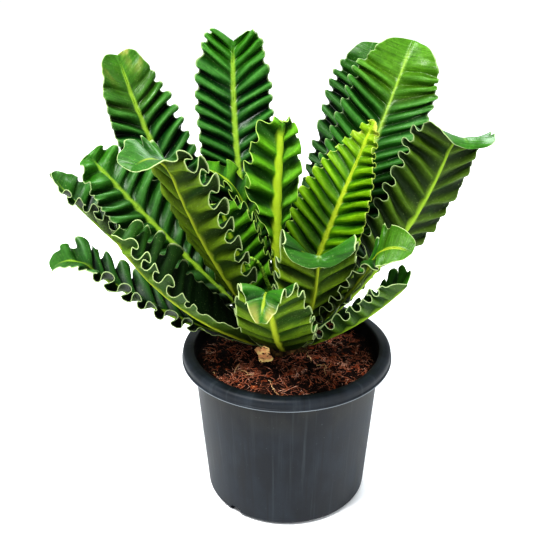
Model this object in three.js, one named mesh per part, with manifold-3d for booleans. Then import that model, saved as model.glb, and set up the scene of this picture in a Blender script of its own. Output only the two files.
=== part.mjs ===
// A crinkled bird's nest fern in a round nursery pot.
// Units are millimetres and degrees, +Z is up, and the origin is the middle of the pot's flat underside.
// Fronds rise from a rootstock set a little behind the pot's axis. Azimuth 0 points along +X and 90 along +Y.
import * as THREE from 'three';
import { mergeVertices } from 'three/addons/utils/BufferGeometryUtils.js';
import Module from 'manifold-3d';

const wasm = await Module();
wasm.setup();

// Pot
const POT_HEIGHT = 193;
const RIM_RADIUS = 125;
const RIM_SKIRT = 13;
const RIM_BEVEL = 3;
const RIM_THICKNESS = 3.4;
const WALL_TOP_RADIUS = 112;
const BASE_RADIUS = 98;
const WALL = 2.4;
const MOUTH_BEVEL = 1.5;
const FLOOR = 3;
const FLOOR_FILLET = 2;
const FOOT_BEVEL = 4;
const POT_SEGMENTS = 48;
const DRAIN_NOTCHES = [111, 231, 351];
const NOTCH_WIDTH = 15;
const NOTCH_HEIGHT = 7;
const NOTCH_DEPTH = 15;
const DRAIN_HOLES = 6;
const DRAIN_HOLE_RADIUS = 6;
const DRAIN_HOLE_RING = 62;

// Potting mix and rootstock
const GAP = 0.35;
const MIX_LEVEL = 175;
const MIX_RELIEF = 1.6;
const MIX_SWELL = [9.1, 7.3];
const MIX_RIPPLE = [4.9, 6.1];
const MIX_RIPPLE_SHARE = 0.6;
const MIX_RINGS = [28, 48, 66, 83, 98];
const MIX_SEGMENTS = 32;
const CHIP_COUNT = 24;
const CHIP_REACH = 95;
const CHIP_CLEARANCE = 10;
const CHIP_SMALLEST = [7, 4, 3];
const CHIP_SPREAD = [8, 4, 2];
const CHIP_TILT = 0.25;
const CHIP_RISE = 0.4;
const CROWN = new THREE.Vector3(0, 29, 167);
const CROWN_RADIUS = 30;
const CROWN_DEPTH = 18;
const CROWN_SEGMENTS = 16;
const CROWN_RINGS = 5;
const CROWN_FOOT_SHARE = 0.8;
const CROWN_SHOULDER = 0.6;
const SOCKET_DEPTH = 8;
const SOCKET_SIDES = 6;

// Scrap of dead leaf and sprout
const SCRAP_OUTLINE = [
  [-6, -9], [-1, -11], [3, -8], [7, -3], [5, 1], [6, 7], [1, 5], [-1, 10], [-4, 4], [-7, 0],
];
const SCRAP_THICKNESS = 1;
const SCRAP_PLACE = [-27, -9, 182];
const SCRAP_TILT = [14, -10, 25];
const SPROUT_PLACE = [-67, 38];
const SPROUT_STEM = 0.9;
const SPROUT_HEIGHT = 7;
const SPROUT_DEPTH = 5;
const SPROUT_LEAF = 4;
const SPROUT_LEAF_TURNS = [20, 115, 200, 295];
const SPROUT_LEAF_RISE = 24;

// Blade build-up, shared by every frond
const BLADE_THICKNESS = 1.2;
const VEIN_SLANT = 0.55;
const STALK_END = 0.045;
const STALK_HALF_WIDTH = 3;
const STALK_RELIEF = 1.5;
const STALK_INNER = 0.55;
const STALK_ROUNDING = [0, 0.75, 1, 0.75, 0];
const PLEAT_START = 0.1;
const PLEAT_END = 0.92;
const PLEAT_FADE_IN = [0.08, 0.25];
const PLEAT_FADE_OUT = [0.84, 0.97];
const PLEAT_GROWTH = 0.8;
const SPREAD_END = 0.2;
const TROUGH = 14;
const TWIST_SPAN = [0.05, 0.6];
const RIB_HALF_WIDTH = 3.2;
const RIB_TIP_SHARE = 0.35;
const RIB_KEEL = 2.4;
const RIB_RIDGE = 1.5;
const BASE_SHARE = 0.16;
const TIP_SHARE = 0.1;
const TIP_ROWS = [0.95, 0.975, 0.992, 1];
const LAST_SHARE = 1.01;
const PATH_STEPS = 96;

const LEAF_DARK = 0x2a6426;
const LEAF_MID = 0x44801f;
const LEAF_YOUNG = 0x7fae22;

// One entry a frond. azimuth and rise aim its base, sway and end bend it sideways and upwards towards the tip.
// curl turns the tip from curlAt on, twist rolls the blade about its rib, trough folds its halves up along the rib.
// The blade is at its widest from waist to taper, and a larger point gives a sharper tip.
const FRONDS = [
  {
    name: 'frond_back_left', colour: LEAF_DARK, azimuth: 140, rise: 34, end: 72, sway: 10,
    length: 405, width: 92, pleats: 15, wave: 7,
    twist: 28,
  },
  {
    name: 'frond_back_middle', colour: LEAF_DARK, azimuth: 140, rise: 60, end: 76, sway: -56,
    length: 360, width: 86, pleats: 15, wave: 6,
  },
  {
    name: 'frond_back_right', colour: LEAF_DARK, azimuth: 48, rise: 52, end: 62, sway: -4,
    length: 392, width: 110, pleats: 15, wave: 7,
    twist: -24,
  },
  {
    name: 'frond_behind_right', colour: LEAF_DARK, azimuth: 65, rise: 42, end: 66, sway: -6,
    length: 396, width: 90, pleats: 14, wave: 6,
  },
  {
    name: 'frond_right', colour: LEAF_DARK, azimuth: 12, rise: 35, end: 80, sway: -14,
    length: 331, width: 98, pleats: 13, wave: 6,
    twist: 72, curl: -90, curlAt: 0.84,
  },
  {
    name: 'frond_left', colour: LEAF_DARK, azimuth: 168, rise: 44, end: 60, sway: -4,
    length: 320, width: 88, pleats: 13, wave: 7,
    twist: 32,
  },
  {
    name: 'frond_far_left', colour: LEAF_DARK, azimuth: 178, rise: 27, end: 52, sway: -6,
    length: 333, width: 66, pleats: 13, wave: 6,
    trough: 50,
  },
  {
    name: 'frond_low_left', colour: LEAF_DARK, azimuth: 195, rise: 20, end: 50,
    length: 292, width: 76, pleats: 12, wave: 6,
    curl: -100, curlAt: 0.84,
  },
  {
    name: 'frond_near_left', colour: LEAF_MID, azimuth: 211, rise: 26, end: 64,
    length: 275, width: 80, pleats: 11, wave: 7, waist: 0.36,
    trough: 45,
  },
  {
    name: 'frond_folded_left', colour: LEAF_MID, azimuth: 221, rise: 50, end: 74, sway: 4,
    length: 345, width: 92, pleats: 11, wave: 8,
    curl: -120, curlAt: 0.82,
  },
  {
    name: 'frond_front', colour: LEAF_MID, azimuth: 262, rise: 30, end: 76,
    length: 246, width: 92, pleats: 7, wave: 6, waist: 0.22, taper: 0.4, point: 0.8,
    curl: -150, curlAt: 0.72,
  },
  {
    name: 'frond_front_right', colour: LEAF_MID, azimuth: 300, rise: 54, end: 80, sway: -34,
    length: 248, width: 104, pleats: 8, wave: 7, waist: 0.3, taper: 0.6,
    curl: -180, curlAt: 0.74,
  },
  {
    name: 'frond_near_right', colour: LEAF_MID, azimuth: 333, rise: 47, end: 66,
    length: 228, width: 64, pleats: 8, wave: 6,
    trough: 8, curl: -90, curlAt: 0.74,
  },
  {
    name: 'frond_low_right', colour: LEAF_DARK, azimuth: 322, rise: 30, end: 54,
    length: 172, width: 72, pleats: 7, wave: 6, waist: 0.36,
    trough: 40,
  },
  {
    name: 'frond_hidden_right', colour: LEAF_DARK, azimuth: 42, rise: 24, end: 44,
    length: 200, width: 62, pleats: 9, wave: 6,
  },
  {
    name: 'frond_hidden_back', colour: LEAF_DARK, azimuth: 82, rise: 24, end: 38,
    length: 235, width: 76, pleats: 9, wave: 6,
  },
  {
    name: 'frond_hidden_left', colour: LEAF_DARK, azimuth: 118, rise: 22, end: 36,
    length: 240, width: 76, pleats: 9, wave: 6,
  },
  {
    name: 'frond_young_right', colour: LEAF_YOUNG, azimuth: 40, rise: 67, end: 68,
    length: 276, width: 86, pleats: 11, wave: 5, taper: 0.5, point: 0.9,
    twist: -30,
  },
  {
    name: 'frond_young_middle', colour: LEAF_YOUNG, azimuth: 215, rise: 80, end: 90,
    length: 278, width: 58, pleats: 10, wave: 5, waist: 0.7, taper: 0.8,
    twist: -70,
  },
  {
    name: 'frond_young_bent', colour: LEAF_YOUNG, azimuth: 166, rise: 70, end: 84,
    length: 240, width: 44, pleats: 8, wave: 4,
    curl: -100, curlAt: 0.76,
  },
  {
    name: 'frond_young_left', colour: LEAF_YOUNG, azimuth: 206, rise: 62, end: 76,
    length: 196, width: 48, pleats: 8, wave: 4,
  },
];

// The rolled young frond is aimed like the others.
const CROZIER = {
  azimuth: 258, rise: 64, end: 72, sway: -70, length: 200,
  curl: -430, curlAt: 0.6, curlPower: 2,
};
const CROZIER_STEM_ROWS = [0, 0.06, 0.18, 0.3, 0.42, 0.52];
const CROZIER_COIL_RINGS = 22;
const CROZIER_STEM_RADIUS = 2.6;
const CROZIER_TIP_RADIUS = 1.6;
const CROZIER_SIDES = 6;

const radians = THREE.MathUtils.degToRad;
const smooth = (x, low, high) => THREE.MathUtils.smoothstep(x, low, high);

// Solids

function solidFrom(geometry) {
  const bare = geometry.clone();
  bare.deleteAttribute('normal');
  bare.deleteAttribute('uv');
  const merged = mergeVertices(bare, 1e-4);
  return new wasm.Manifold(
    new wasm.Mesh({
      numProp: 3,
      vertProperties: merged.attributes.position.array,
      triVerts: new Uint32Array(merged.index.array),
    }),
  );
}

function geometryFrom(solid) {
  const mesh = solid.getMesh();
  const positions = new Float32Array(mesh.numVert * 3);
  for (let i = 0; i < mesh.numVert; i++) {
    positions.set(mesh.vertProperties.subarray(i * mesh.numProp, i * mesh.numProp + 3), i * 3);
  }
  const geometry = new THREE.BufferGeometry();
  geometry.setAttribute('position', new THREE.BufferAttribute(positions, 3));
  geometry.setIndex(new THREE.BufferAttribute(mesh.triVerts, 1));
  geometry.computeVertexNormals();
  return geometry;
}

function latheUp(profile, segments) {
  const points = profile.map(([r, z]) => new THREE.Vector2(r, z));
  return new THREE.LatheGeometry(points, segments).rotateX(Math.PI / 2);
}

function upright(radius, low, high, segments) {
  const geometry = new THREE.CylinderGeometry(radius, radius, high - low, segments);
  return geometry.rotateX(Math.PI / 2).translate(0, 0, (low + high) / 2);
}

function solidFromTriangles(positions, indices) {
  const geometry = new THREE.BufferGeometry();
  geometry.setAttribute('position', new THREE.Float32BufferAttribute(positions, 3));
  geometry.setIndex(indices);
  return solidFrom(geometry);
}

// A closed body through rings of points, each ring with the same count, and a middle point at either end.
function ringedSolid(first, rings, last) {
  const sides = rings[0].length;
  const positions = [first, ...rings.flat(), last].flatMap((p) => [p.x, p.y, p.z]);
  const lastPoint = 1 + rings.length * sides;
  const lastRing = lastPoint - sides;
  const indices = [];
  for (let k = 0; k < sides; k++) {
    const next = (k + 1) % sides;
    indices.push(0, 1 + k, 1 + next);
    indices.push(lastPoint, lastRing + next, lastRing + k);
    for (let i = 0; i < rings.length - 1; i++) {
      const a = 1 + i * sides;
      const b = a + sides;
      indices.push(a + k, b + k, b + next, a + k, b + next, a + next);
    }
  }
  return solidFromTriangles(positions, indices);
}

function seededRandom(seed) {
  let state = seed;
  return () => {
    state = (state * 1664525 + 1013904223) % 4294967296;
    return state / 4294967296;
  };
}

// Frond blades

// Point, direction, side and face of a frond's rib at share s of its length.
function ribPath(frond) {
  const { azimuth, rise, end, sway = 0, twist = 0, curl = 0, curlAt = 0.8, curlPower = 1.3, length } = frond;
  const aim = (s) => {
    const late = THREE.MathUtils.clamp((s - curlAt) / (1 - curlAt), 0, 1);
    const lift = radians(rise + (end - rise) * THREE.MathUtils.clamp(s, 0, 1) + curl * late ** curlPower);
    const heading = radians(azimuth + sway * s);
    const roll = radians(twist * smooth(s, ...TWIST_SPAN));
    const along = new THREE.Vector3(
      Math.cos(lift) * Math.cos(heading),
      Math.cos(lift) * Math.sin(heading),
      Math.sin(lift),
    );
    const level = new THREE.Vector3(Math.sin(heading), -Math.cos(heading), 0);
    const up = new THREE.Vector3().crossVectors(level, along);
    const side = level.clone().multiplyScalar(Math.cos(roll)).addScaledVector(up, Math.sin(roll));
    const face = new THREE.Vector3().crossVectors(side, along);
    return { along, side, face };
  };
  const points = [aim(0).along.multiplyScalar(CROWN_RADIUS - SOCKET_DEPTH).add(CROWN)];
  for (let i = 0; i < PATH_STEPS; i++) {
    const step = aim((i + 0.5) / PATH_STEPS).along.multiplyScalar(length / PATH_STEPS);
    points.push(points[i].clone().add(step));
  }
  return (s) => {
    const i = THREE.MathUtils.clamp(Math.floor(s * PATH_STEPS), 0, PATH_STEPS - 1);
    const point = new THREE.Vector3().lerpVectors(points[i], points[i + 1], s * PATH_STEPS - i);
    return { point, ...aim(s) };
  };
}

function ribHalfWidth(s) {
  return RIB_HALF_WIDTH * (1 - (1 - RIB_TIP_SHARE) * THREE.MathUtils.clamp(s, 0, 1));
}

function halfWidth(frond, s) {
  const { width, waist = 0.45, taper = 0.7, point = 0.5 } = frond;
  const grown = BASE_SHARE + (1 - BASE_SHARE) * smooth(s, STALK_END, waist);
  const late = THREE.MathUtils.clamp((s - taper) / (1 - taper), 0, 1);
  const closing = TIP_SHARE + (1 - TIP_SHARE) * Math.max(0, 1 - late * late) ** point;
  const blade = Math.max(ribHalfWidth(s) + 1, (width / 2) * grown * closing);
  return THREE.MathUtils.lerp(STALK_HALF_WIDTH, blade, smooth(s, STALK_END, 2 * STALK_END));
}

// The rows of a blade: share of the length, and 1 on the ridges and -1 in the valleys of the pleats.
function bladeRows(frond) {
  const rows = [0, STALK_END, 1.5 * STALK_END].map((s) => ({ s, swing: 0 }));
  const count = 2 * frond.pleats;
  for (let i = 0; i <= count; i++) {
    rows.push({ s: PLEAT_START + ((PLEAT_END - PLEAT_START) * i) / count, swing: i % 2 ? -1 : 1 });
  }
  for (const s of TIP_ROWS) rows.push({ s, swing: 0 });
  return rows;
}

// Where the blade's middle layer lies at u, which runs from -1 at one margin to 1 at the other.
function bladePoint(frond, path, row, u) {
  const { length, wave, trough = TROUGH } = frond;
  const half = halfWidth(frond, row.s);
  const across = Math.abs(u);
  const spread = smooth(row.s, STALK_END, SPREAD_END);
  const slanted = row.s + (VEIN_SLANT * half * across * spread) / length;
  const { point, side, face } = path(Math.min(slanted, LAST_SHARE));
  const strength = smooth(row.s, ...PLEAT_FADE_IN) * (1 - smooth(row.s, ...PLEAT_FADE_OUT));
  const fold = radians(trough) * spread;
  const lift = wave * strength * across ** PLEAT_GROWTH * row.swing * Math.sign(u);
  point.addScaledVector(side, half * u * Math.cos(fold));
  point.addScaledVector(face, half * across * Math.sin(fold) + lift);
  return point;
}

// Extra thickness on the upper (sign 1) or lower (sign -1) face: a ridge along the rib, rounded into the stalk.
function ribRelief(s, column, sign) {
  const stalk = 1 - smooth(s, STALK_END, 3 * STALK_END);
  const round = STALK_ROUNDING[column] * STALK_RELIEF * stalk;
  const height = sign > 0 ? RIB_RIDGE : RIB_KEEL;
  const ridge = column === 2 ? (height * ribHalfWidth(s)) / RIB_HALF_WIDTH : 0;
  return Math.max(round, ridge * (1 - stalk));
}

function bladeGrid(frond, rows) {
  const path = ribPath(frond);
  return rows.map((row) => {
    const rib = ribHalfWidth(row.s) / halfWidth(frond, row.s);
    const inner = row.s < 2 * STALK_END ? Math.min(rib, STALK_INNER) : rib;
    return [-1, -inner, 0, inner, 1].map((u) => bladePoint(frond, path, row, u));
  });
}

function gridNormal(grid, i, j) {
  const at = (row, column) => grid[THREE.MathUtils.clamp(row, 0, grid.length - 1)][column];
  const left = Math.max(j - 1, 0);
  const right = Math.min(j + 1, grid[0].length - 1);
  const down = at(i + 1, j).clone().sub(at(i - 1, j));
  const over = at(i, right).clone().sub(at(i, left));
  return over.cross(down).normalize();
}

// A closed blade: the same grid on both faces and a wall round its edge.
function bladeSolid(frond) {
  const rows = bladeRows(frond);
  const grid = bladeGrid(frond, rows);
  const columns = grid[0].length;
  const last = rows.length - 1;
  const positions = [];
  for (const sign of [1, -1]) {
    grid.forEach((line, i) => {
      line.forEach((middle, j) => {
        const offset = sign * (BLADE_THICKNESS / 2 + ribRelief(rows[i].s, j, sign));
        const vertex = middle.clone().addScaledVector(gridNormal(grid, i, j), offset);
        positions.push(vertex.x, vertex.y, vertex.z);
      });
    });
  }
  const under = rows.length * columns;
  const indices = [];
  const quad = (a, b, c, d) => indices.push(a, b, c, a, c, d);
  for (let i = 0; i < last; i++) {
    const left = i * columns;
    const right = left + columns - 1;
    for (let a = left; a < right; a++) {
      const c = a + 1 + columns;
      quad(a, a + 1, c, c - 1);
      indices.push(under + a, under + c, under + a + 1, under + a, under + c - 1, under + c);
    }
    quad(left, left + columns, under + left + columns, under + left);
    quad(right + columns, right, under + right, under + right + columns);
  }
  for (let j = 0; j < columns - 1; j++) {
    const end = last * columns + j;
    quad(j + 1, j, under + j, under + j + 1);
    quad(end, end + 1, under + end + 1, under + end);
  }
  return solidFromTriangles(positions, indices);
}

// A young frond still rolled up: a round stem whose tip winds into a coil.
function crozierSolid() {
  const path = ribPath(CROZIER);
  const shares = [...CROZIER_STEM_ROWS];
  for (let i = 0; i <= CROZIER_COIL_RINGS; i++) {
    shares.push(CROZIER.curlAt + ((1 - CROZIER.curlAt) * i) / CROZIER_COIL_RINGS);
  }
  const rings = shares.map((s) => {
    const { point, side, face } = path(s);
    const radius = THREE.MathUtils.lerp(CROZIER_STEM_RADIUS, CROZIER_TIP_RADIUS, s * s);
    return Array.from({ length: CROZIER_SIDES }, (_, k) => {
      const angle = (2 * Math.PI * k) / CROZIER_SIDES;
      const rim = point.clone().addScaledVector(side, radius * Math.cos(angle));
      return rim.addScaledVector(face, radius * Math.sin(angle));
    });
  });
  return ringedSolid(path(0).point, rings, path(1).point);
}

// Pot, potting mix and rootstock

function wallOuter(z) {
  return BASE_RADIUS + ((WALL_TOP_RADIUS - BASE_RADIUS) * z) / POT_HEIGHT;
}

function potProfile() {
  const flange = POT_HEIGHT - RIM_THICKNESS;
  return [
    [0, 0],
    [BASE_RADIUS - FOOT_BEVEL, 0],
    [wallOuter(FOOT_BEVEL), FOOT_BEVEL],
    [wallOuter(flange), flange],
    [RIM_RADIUS - WALL, flange],
    [RIM_RADIUS - WALL, POT_HEIGHT - RIM_SKIRT],
    [RIM_RADIUS, POT_HEIGHT - RIM_SKIRT],
    [RIM_RADIUS, POT_HEIGHT - RIM_BEVEL],
    [RIM_RADIUS - RIM_BEVEL, POT_HEIGHT],
    [WALL_TOP_RADIUS - WALL + MOUTH_BEVEL, POT_HEIGHT],
    [WALL_TOP_RADIUS - WALL, POT_HEIGHT - MOUTH_BEVEL],
    [wallOuter(FLOOR) - WALL - FLOOR_FILLET, FLOOR],
    [0, FLOOR],
  ];
}

function potSolid() {
  let pot = solidFrom(latheUp(potProfile(), POT_SEGMENTS));
  for (const angle of DRAIN_NOTCHES) {
    const cutter = new THREE.BoxGeometry(2 * NOTCH_DEPTH, NOTCH_WIDTH, 2 * NOTCH_HEIGHT);
    cutter.translate(BASE_RADIUS, 0, 0).rotateZ(radians(angle));
    pot = pot.subtract(solidFrom(cutter));
  }
  for (let i = 0; i < DRAIN_HOLES; i++) {
    const angle = (2 * Math.PI * i) / DRAIN_HOLES;
    const drill = upright(DRAIN_HOLE_RADIUS, -1, FLOOR + 1, 12);
    drill.translate(DRAIN_HOLE_RING * Math.cos(angle), DRAIN_HOLE_RING * Math.sin(angle), 0);
    pot = pot.subtract(solidFrom(drill));
  }
  return pot;
}

// Height of the loose surface of the mix.
function mixHeight(x, y) {
  const swell = Math.sin(x / MIX_SWELL[0] + 0.7) * Math.cos(y / MIX_SWELL[1] - 0.4);
  const ripple = Math.sin(x / MIX_RIPPLE[0] - y / MIX_RIPPLE[1]);
  return MIX_LEVEL + MIX_RELIEF * (swell + MIX_RIPPLE_SHARE * ripple);
}

// Radius of the mix at height z: just inside the flats of the pot's wall.
function mixRadius(z) {
  const low = wallOuter(FLOOR) - WALL - FLOOR_FILLET;
  const high = WALL_TOP_RADIUS - WALL;
  const share = (z - FLOOR) / (POT_HEIGHT - MOUTH_BEVEL - FLOOR);
  return (low + (high - low) * share) * Math.cos(Math.PI / POT_SEGMENTS) - GAP;
}

function mixSolid() {
  const foot = FLOOR + GAP;
  const ring = (radius, heightAt) =>
    Array.from({ length: MIX_SEGMENTS }, (_, i) => {
      const angle = (2 * Math.PI * i) / MIX_SEGMENTS;
      const x = radius * Math.cos(angle);
      const y = radius * Math.sin(angle);
      return new THREE.Vector3(x, y, heightAt(x, y));
    });
  const rings = MIX_RINGS.map((radius) => ring(radius, mixHeight));
  rings.push(ring(mixRadius(MIX_LEVEL), () => MIX_LEVEL), ring(mixRadius(foot), () => foot));
  return ringedSolid(new THREE.Vector3(0, 0, mixHeight(0, 0)), rings, new THREE.Vector3(0, 0, foot));
}

// Coir chips lie half sunk in the mix, clear of the wall and of the rootstock.
function chipSolids() {
  const random = seededRandom(7);
  const chips = [];
  while (chips.length < CHIP_COUNT) {
    const angle = 2 * Math.PI * random();
    const reach = CHIP_REACH * Math.sqrt(random());
    const x = reach * Math.cos(angle);
    const y = reach * Math.sin(angle);
    const size = CHIP_SMALLEST.map((least, i) => least + CHIP_SPREAD[i] * random());
    const tilt = () => CHIP_TILT * (2 * random() - 1);
    const turn = new THREE.Euler(tilt(), tilt(), Math.PI * random());
    if (Math.hypot(x - CROWN.x, y - CROWN.y) < CROWN_RADIUS + CHIP_CLEARANCE) continue;
    const chip = new THREE.BoxGeometry(...size).applyMatrix4(new THREE.Matrix4().makeRotationFromEuler(turn));
    chips.push(solidFrom(chip.translate(x, y, mixHeight(x, y) + CHIP_RISE)));
  }
  return chips;
}

function crownProfile(radius, depth, top) {
  const foot = CROWN.z - depth;
  const profile = [[0, foot], [radius * CROWN_FOOT_SHARE, foot], [radius, CROWN.z - depth * CROWN_SHOULDER]];
  for (let i = 0; i <= CROWN_RINGS; i++) {
    const angle = (Math.PI / 2) * (i / CROWN_RINGS);
    profile.push([i === CROWN_RINGS ? 0 : radius * Math.cos(angle), CROWN.z + top * Math.sin(angle)]);
  }
  return latheUp(profile, CROWN_SEGMENTS).translate(CROWN.x, CROWN.y, 0);
}

// A plain hole in the rootstock for a stalk that leaves it towards azimuth and rise.
function socket(azimuth, rise) {
  const radius = (STALK_HALF_WIDTH + GAP) / Math.cos(Math.PI / SOCKET_SIDES);
  const hole = upright(radius, CROWN_RADIUS - SOCKET_DEPTH - GAP, CROWN_RADIUS + 6, SOCKET_SIDES);
  hole.rotateY(Math.PI / 2 - radians(rise)).rotateZ(radians(azimuth));
  return solidFrom(hole.translate(CROWN.x, CROWN.y, CROWN.z));
}

function crownSolid() {
  let crown = solidFrom(crownProfile(CROWN_RADIUS, CROWN_DEPTH, CROWN_RADIUS));
  for (const { azimuth, rise } of [...FRONDS, CROZIER]) crown = crown.subtract(socket(azimuth, rise));
  return crown;
}

function plantedMix() {
  let mix = mixSolid();
  for (const chip of chipSolids()) mix = mix.add(chip);
  const pit = crownProfile(CROWN_RADIUS + GAP, CROWN_DEPTH + GAP, CROWN_RADIUS + 60);
  mix = mix.subtract(solidFrom(pit));
  const hole = upright(SPROUT_STEM + GAP, MIX_LEVEL - SPROUT_DEPTH - GAP, MIX_LEVEL + 20, 8);
  return mix.subtract(solidFrom(hole.translate(...SPROUT_PLACE, 0)));
}

// Small pieces on the mix

function sproutSolid() {
  const top = MIX_LEVEL + SPROUT_HEIGHT;
  let sprout = solidFrom(upright(SPROUT_STEM, MIX_LEVEL - SPROUT_DEPTH, top, 6));
  for (const turn of SPROUT_LEAF_TURNS) {
    const leaf = new THREE.OctahedronGeometry(1, 1).scale(SPROUT_LEAF, SPROUT_LEAF / 2, SPROUT_LEAF / 6);
    leaf.translate(SPROUT_LEAF - SPROUT_STEM / 2, 0, 0).rotateY(radians(-SPROUT_LEAF_RISE));
    leaf.rotateZ(radians(turn)).translate(0, 0, top - SPROUT_STEM);
    sprout = sprout.add(solidFrom(leaf));
  }
  return sprout.translate([...SPROUT_PLACE, 0]);
}

// A flake of dead leaf with a torn outline, lying on the mix in front of the rootstock.
function scrapSolid() {
  const shape = new THREE.Shape(SCRAP_OUTLINE.map(([x, y]) => new THREE.Vector2(x, y)));
  const flake = new THREE.ExtrudeGeometry(shape, { depth: SCRAP_THICKNESS, bevelEnabled: false });
  const [x, y, z] = SCRAP_TILT.map(radians);
  flake.rotateX(x).rotateY(y).rotateZ(z).translate(...SCRAP_PLACE);
  return solidFrom(flake);
}

// The whole plant

function finish(colour, roughness) {
  return new THREE.MeshStandardMaterial({ color: colour, roughness, metalness: 0 });
}

function addPiece(group, name, solid, material) {
  const mesh = new THREE.Mesh(geometryFrom(solid), material);
  mesh.name = name;
  group.add(mesh);
}

const plant = new THREE.Group();
addPiece(plant, 'pot', potSolid(), finish(0x2d343b, 0.5));
addPiece(plant, 'potting_mix', plantedMix(), finish(0x4a2917, 0.95));
addPiece(plant, 'rootstock', crownSolid(), finish(0x4a3a1c, 0.9));
for (const frond of FRONDS) {
  addPiece(plant, frond.name, bladeSolid(frond), finish(frond.colour, 0.4));
}
addPiece(plant, 'crozier', crozierSolid(), finish(0x9cc23a, 0.6));
addPiece(plant, 'leaf_scrap', scrapSolid(), finish(0xb58a55, 0.9));
addPiece(plant, 'sprout', sproutSolid(), finish(0xb9cf6a, 0.7));

export default plant;
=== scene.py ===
import math
from types import SimpleNamespace

import bmesh
import bpy
import numpy as np
from mathutils import Matrix, Vector


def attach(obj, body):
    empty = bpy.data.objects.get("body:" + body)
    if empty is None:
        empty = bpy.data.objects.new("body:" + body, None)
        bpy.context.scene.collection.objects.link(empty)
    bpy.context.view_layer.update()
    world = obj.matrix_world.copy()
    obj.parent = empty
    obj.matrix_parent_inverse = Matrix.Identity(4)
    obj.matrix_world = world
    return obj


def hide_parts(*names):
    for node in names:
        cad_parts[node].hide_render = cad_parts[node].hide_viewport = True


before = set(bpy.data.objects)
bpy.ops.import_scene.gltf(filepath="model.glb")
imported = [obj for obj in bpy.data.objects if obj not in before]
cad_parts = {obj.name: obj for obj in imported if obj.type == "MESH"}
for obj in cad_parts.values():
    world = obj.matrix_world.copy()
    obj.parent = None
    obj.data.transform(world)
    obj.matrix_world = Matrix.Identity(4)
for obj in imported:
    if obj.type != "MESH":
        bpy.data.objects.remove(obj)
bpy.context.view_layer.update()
MM = 0.001

# Camera, fitted to the pot's outline in the photograph
CAMERA_DISTANCE = 0.978
CAMERA_PITCH = math.radians(25.8)
CAMERA_AIM = Vector((-0.0116, 0, 0.281))
CAMERA_LENS = 55.23

# Pot
POT_HEIGHT = 0.193
RIM_RADIUS = 0.125
RIM_SKIRT = 0.013
RIM_BEVEL = 0.003
RIM_THICKNESS = 0.0034
HEM_FOOT = POT_HEIGHT - RIM_SKIRT
LIP_BEAD = 0.0022
LIP_STEP = 0.0011
WALL_TOP_RADIUS = 0.112
BASE_RADIUS = 0.098
WALL = 0.0024
MOUTH_BEVEL = 0.0015
FLOOR = 0.003
FLOOR_FILLET = 0.002
FOOT_BEVEL = 0.004
POT_SEGMENTS = 160
DRAIN_NOTCHES = (111, 231, 351)
NOTCH_WIDTH = 0.015
NOTCH_HEIGHT = 0.0095
NOTCH_DEPTH = 0.015
DRAIN_HOLES = 6
DRAIN_HOLE_RADIUS = 0.006
DRAIN_HOLE_RING = 0.062
STAIN_START = (0.120, 0.172)
STAIN_END = (0.178, 0.182)
# Painted shadow on the wall under the rim: the height where it starts, and the radii where it fades out
RIM_SHADOW_START = 0.164
RIM_SHADOW_REACH = (0.1135, 0.115)

# Potting mix and rootstock
GAP = 0.00035
MIX_LEVEL = 0.175
MIX_RELIEF = 0.0016
MIX_SWELL = (0.0091, 0.0073)
MIX_RIPPLE = (0.0049, 0.0061)
MIX_RIPPLE_SHARE = 0.6
MIX_CLODS = 0.007
CLOD_NOISE = 95.0
MIX_GRAIN = 0.004
GRAIN_NOISE = 330.0
MIX_RING_STEP = 0.0016
MIX_SEGMENTS = 240
CROWN = Vector((0, 0.029, 0.167))
CROWN_RADIUS = 0.030
CROWN_DEPTH = 0.018
CROWN_FOOT_SHARE = 0.8
CROWN_SHOULDER = 0.6
CROWN_KNOBS = 0.004
KNOB_NOISE = 150.0
CROWN_SEGMENTS = 96
CROWN_RINGS = 28
SOCKET_DEPTH = 0.008

# What is strewn over the mix: dark, middle and bright colour in screen values, then pieces a square metre,
# sizes, and how far from the pot's axis a piece may start
STRANDS = {
    "coir_fibres": (((40, 18, 12), (170, 108, 82), (255, 226, 206)), dict(
        density=24000.0, shortest=0.008, longest=0.026, thickness=0.00062, bend=0.011, reach=0.097, seed=3,
    )),
    "coir_hairs": (((56, 26, 20), (180, 116, 92), (255, 220, 200)), dict(
        density=44000.0, shortest=0.004, longest=0.013, thickness=0.00034, bend=0.009, reach=0.1, seed=11,
    )),
    "root_threads": (((120, 86, 56), (188, 158, 118), (222, 202, 170)), dict(
        density=380.0, shortest=0.025, longest=0.05, thickness=0.0007, bend=0.04, reach=0.084, seed=5,
        steps=18, sides=5,
    )),
}
BITS = {
    "coir_chips": (((40, 18, 11), (134, 70, 44), (222, 150, 104)), dict(
        density=3600.0, longest=0.010, width=0.0036, depth=0.0022, raggedness=0.0028, reach=0.1, seed=2,
    )),
    "coir_crumbs": (((5, 3, 3), (58, 32, 25), (180, 124, 100)), dict(
        density=42000.0, longest=0.0026, width=0.0016, depth=0.0013, raggedness=0.0012, reach=0.104, seed=4,
    )),
}
CROWN_HAIRS = dict(
    density=150000.0, shortest=0.003, longest=0.009, thickness=0.00022, bend=0.004, reach=0.2, seed=8,
    clearance=0.0,
)
LITTER_TILT = 0.35
STRAND_BENDS = (55.0, 190.0)
BIT_NOISE = 420.0
BED_SPECKLE = 700.0
LITTER_SPECKLE = 900.0

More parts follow.
